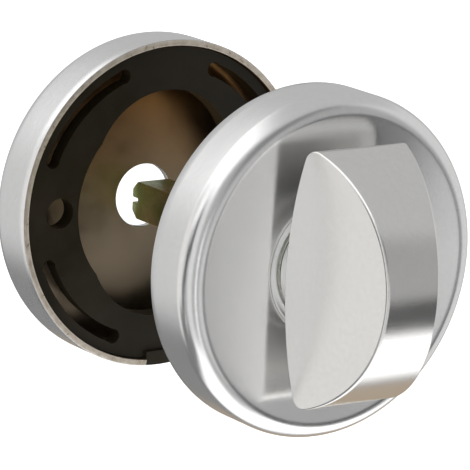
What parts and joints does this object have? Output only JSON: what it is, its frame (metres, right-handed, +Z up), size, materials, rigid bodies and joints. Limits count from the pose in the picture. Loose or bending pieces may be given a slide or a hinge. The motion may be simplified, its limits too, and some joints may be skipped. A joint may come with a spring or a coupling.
{
  "type": "deadbolt turn and release rosette set",
  "caption": "Round thumb-turn rosette and emergency-release rosette joined by a slotted square spindle, for working a deadbolt from both sides of a door.",
  "frame": {"origin": "on the spindle axis, midway between the two rosettes' rims, where the lock's follower sits", "axes": "+Y along the spindle from the room side to the outer side, the thumb turn faces -Y, +Z up, +X to the right seen from the room"},
  "size_m": [0.052, 0.0727, 0.052],
  "materials": {
    "satin_chrome": "satin, fine bead blasted",
    "knob_chrome": "satin, fine bead blasted",
    "yellow_passivated": "yellow passivated zinc, slightly iridescent",
    "natural_nylon": "moulded",
    "zinc_steel": "zinc plated",
    "spring_steel": "blackened",
    "black_plastic": "moulded, fine grain"
  },
  "bodies": {
    "root": {"inner_cover": "satin_chrome", "neck_bush": "natural_nylon", "inner_base": "black_plastic", "outer_cover": "satin_chrome", "outer_base": "black_plastic"},
    "turn": {"turn_knob": "knob_chrome", "thrust_washer": "yellow_passivated", "back_washer": "zinc_steel", "spring_washer": "spring_steel", "retaining_ring": "spring_steel", "spindle": "yellow_passivated", "spindle_pin": "zinc_steel"}
  },
  "joints": [
    {"name": "knob_turn", "type": "hinge", "parent": "root", "child": "turn", "pos_m": [0, -0.0236, 0], "axis": [0, -1, 0], "range_deg": [-90, 90]}
  ]
}
